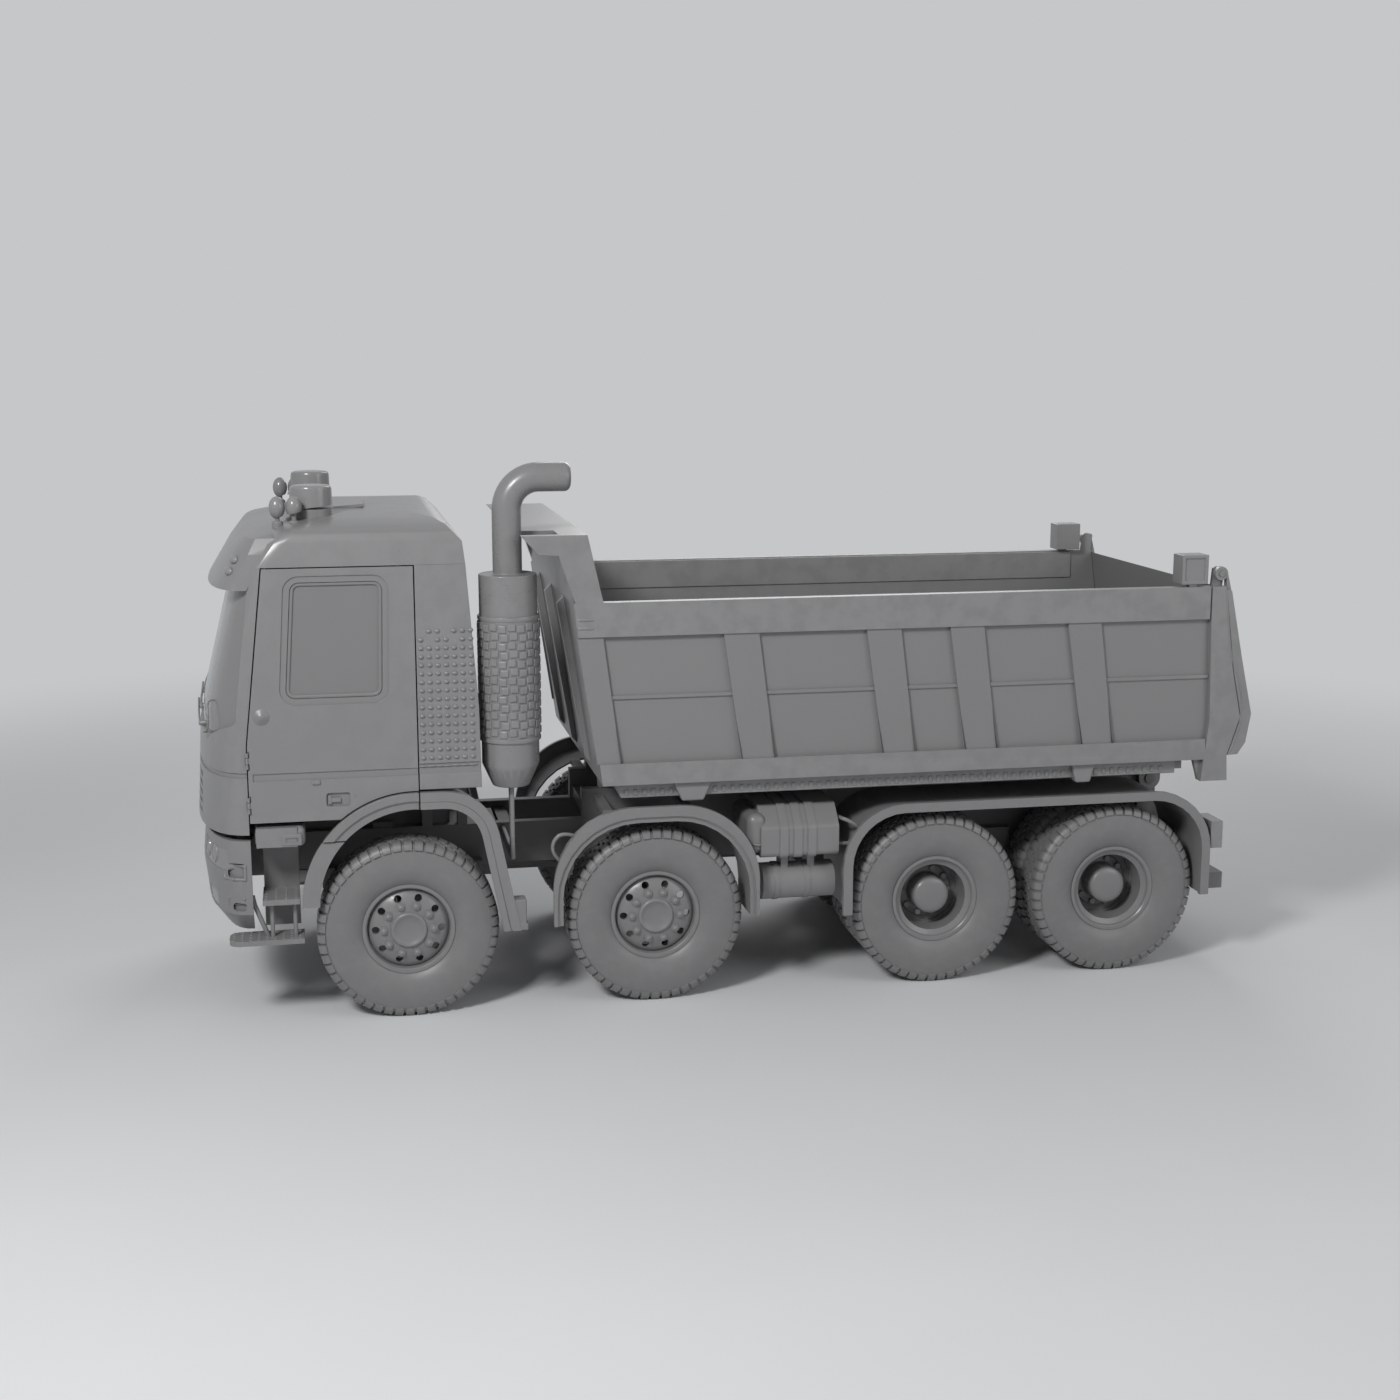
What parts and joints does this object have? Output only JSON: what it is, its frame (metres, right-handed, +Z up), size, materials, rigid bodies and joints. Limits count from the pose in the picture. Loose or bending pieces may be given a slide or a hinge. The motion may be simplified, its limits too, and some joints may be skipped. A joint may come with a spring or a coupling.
{
  "type": "dump truck",
  "caption": "cab-over dump truck with tilting cab, steered front axles, twin rear wheels, tipping steel body and top-hung tailgate",
  "frame": {"origin": "on the ground under the middle of the truck's box", "axes": "+X to the rear, -X at the nose, +Y to the truck's right, +Z up"},
  "size_m": [7.445, 2.55, 3.75],
  "materials": {
    "body_paint": "satin mid-grey paint",
    "bed_paint": "satin mid-grey paint with welds and wear",
    "chassis_paint": "semi-matt grey chassis paint",
    "rim_paint": "satin grey wheel paint",
    "tyre_rubber": "dusty grey tyre rubber",
    "pane": "smooth grey panes",
    "lens": "smooth grey lamp bodies",
    "exhaust_steel": "heat-proof grey paint",
    "trim": "grained grey plastic",
    "cloth": "woven grey seat cloth",
    "rod_steel": "ground and plated rod"
  },
  "bodies": {
    "chassis": {"frame_rails": "chassis_paint", "cross_members": "chassis_paint", "subframe": "chassis_paint", "front_bumper": "trim", "lamps": "lens", "engine_block": "chassis_paint", "axles": "chassis_paint", "leaf_springs": "chassis_paint", "drive_shafts": "chassis_paint", "side_tanks": "body_paint", "exhaust": "exhaust_steel", "heat_shield": "exhaust_steel", "front_arches": "trim", "mid_guards": "trim", "rear_guards": "trim", "rear_underrun": "chassis_paint", "entry_steps": "trim"},
    "cab": {"cab_floor": "chassis_paint", "cab_rear": "body_paint", "cab_roof": "body_paint", "cab_front": "body_paint", "windscreen": "pane", "sun_visor": "body_paint", "arch_flares": "trim", "roof_lights": "lens", "seats": "cloth", "dashboard": "trim"},
    "left_door": {"door_left": "body_paint", "door_glass_left": "pane"},
    "right_door": {"door_right": "body_paint", "door_glass_right": "pane"},
    "load_bed": {"bed_floor": "bed_paint", "bed_side_left": "bed_paint", "bed_side_right": "bed_paint", "bed_headboard": "bed_paint", "bed_lamps": "lens"},
    "rear_gate": {"tailgate": "bed_paint"},
    "hoist_lower": {"hoist_barrel": "chassis_paint"},
    "hoist_upper": {"hoist_rod": "rod_steel"},
    "steer_1l": {"knuckle_1l": "chassis_paint"},
    "steer_1r": {"knuckle_1r": "chassis_paint"},
    "steer_2l": {"knuckle_2l": "chassis_paint"},
    "steer_2r": {"knuckle_2r": "chassis_paint"},
    "wheel_1l": {"tyre_1l": "tyre_rubber", "rim_1l": "rim_paint"},
    "wheel_1r": {"tyre_1r": "tyre_rubber", "rim_1r": "rim_paint"},
    "wheel_2l": {"tyre_2l": "tyre_rubber", "rim_2l": "rim_paint"},
    "wheel_2r": {"tyre_2r": "tyre_rubber", "rim_2r": "rim_paint"},
    "wheel_3l": {"tyre_3l": "tyre_rubber", "rim_3l": "rim_paint"},
    "wheel_3r": {"tyre_3r": "tyre_rubber", "rim_3r": "rim_paint"},
    "wheel_4l": {"tyre_4l": "tyre_rubber", "rim_4l": "rim_paint"},
    "wheel_4r": {"tyre_4r": "tyre_rubber", "rim_4r": "rim_paint"}
  },
  "joints": [
    {"name": "cab_tilt", "type": "hinge", "parent": "chassis", "child": "cab", "pos_m": [-3.3775, 0, 0.98], "axis": [0, -1, 0], "range_deg": [0, 60]},
    {"name": "left_door_swing", "type": "hinge", "parent": "cab", "child": "left_door", "pos_m": [-3.3475, -1.25, 1.69], "axis": [0, 0, -1], "range_deg": [0, 70]},
    {"name": "right_door_swing", "type": "hinge", "parent": "cab", "child": "right_door", "pos_m": [-3.3475, 1.25, 1.69], "axis": [0, 0, 1], "range_deg": [0, 70]},
    {"name": "bed_tip", "type": "hinge", "parent": "chassis", "child": "load_bed", "pos_m": [3.3425, 0, 1.25], "axis": [0, 1, 0], "range_deg": [0, 50]},
    {"name": "gate_swing", "type": "hinge", "parent": "load_bed", "child": "rear_gate", "pos_m": [3.4475, 0, 2.915], "axis": [0, -1, 0], "range_deg": [0, 60]},
    {"name": "hoist_swing", "type": "hinge", "parent": "chassis", "child": "hoist_lower", "pos_m": [1.1005, 0, 0.88], "axis": [0, -1, 0], "range_deg": [0, 10.33]},
    {"name": "hoist_stroke", "type": "slide", "parent": "hoist_lower", "child": "hoist_upper", "axis": [0.9321, 0, 0.3622], "range_m": [0, 0.6506]},
    {"name": "steer_1l", "type": "hinge", "parent": "chassis", "child": "steer_1l", "pos_m": [-2.3275, -1, 0.613], "axis": [0, 0, 1], "range_deg": [-35, 35]},
    {"name": "steer_1r", "type": "hinge", "parent": "chassis", "child": "steer_1r", "pos_m": [-2.3275, 1, 0.613], "axis": [0, 0, 1], "range_deg": [-35, 35]},
    {"name": "steer_2l", "type": "hinge", "parent": "chassis", "child": "steer_2l", "pos_m": [-0.6275, -1, 0.613], "axis": [0, 0, 1], "range_deg": [-22.75, 22.75]},
    {"name": "steer_2r", "type": "hinge", "parent": "chassis", "child": "steer_2r", "pos_m": [-0.6275, 1, 0.613], "axis": [0, 0, 1], "range_deg": [-22.75, 22.75]},
    {"name": "spin_1l", "type": "hinge", "parent": "steer_1l", "child": "wheel_1l", "pos_m": [-2.3275, -1.0425, 0.613], "axis": [0, 1, 0], "continuous": true},
    {"name": "spin_1r", "type": "hinge", "parent": "steer_1r", "child": "wheel_1r", "pos_m": [-2.3275, 1.0425, 0.613], "axis": [0, 1, 0], "continuous": true},
    {"name": "spin_2l", "type": "hinge", "parent": "steer_2l", "child": "wheel_2l", "pos_m": [-0.6275, -1.0425, 0.613], "axis": [0, 1, 0], "continuous": true},
    {"name": "spin_2r", "type": "hinge", "parent": "steer_2r", "child": "wheel_2r", "pos_m": [-0.6275, 1.0425, 0.613], "axis": [0, 1, 0], "continuous": true},
    {"name": "spin_3l", "type": "hinge", "parent": "chassis", "child": "wheel_3l", "pos_m": [1.4025, -0.8675, 0.613], "axis": [0, 1, 0], "continuous": true},
    {"name": "spin_3r", "type": "hinge", "parent": "chassis", "child": "wheel_3r", "pos_m": [1.4025, 0.8675, 0.613], "axis": [0, 1, 0], "continuous": true},
    {"name": "spin_4l", "type": "hinge", "parent": "chassis", "child": "wheel_4l", "pos_m": [2.7525, -0.8675, 0.613], "axis": [0, 1, 0], "continuous": true},
    {"name": "spin_4r", "type": "hinge", "parent": "chassis", "child": "wheel_4r", "pos_m": [2.7525, 0.8675, 0.613], "axis": [0, 1, 0], "continuous": true}
  ],
  "couplings": [
    {"joint": "hoist_swing", "follows": "bed_tip", "ratio": 0.2066},
    {"joint": "hoist_stroke", "follows": "bed_tip", "m_per_rad": 0.7455},
    {"joint": "steer_1r", "follows": "steer_1l", "ratio": 1},
    {"joint": "steer_2l", "follows": "steer_1l", "ratio": 0.65},
    {"joint": "steer_2r", "follows": "steer_1l", "ratio": 0.65}
  ]
}
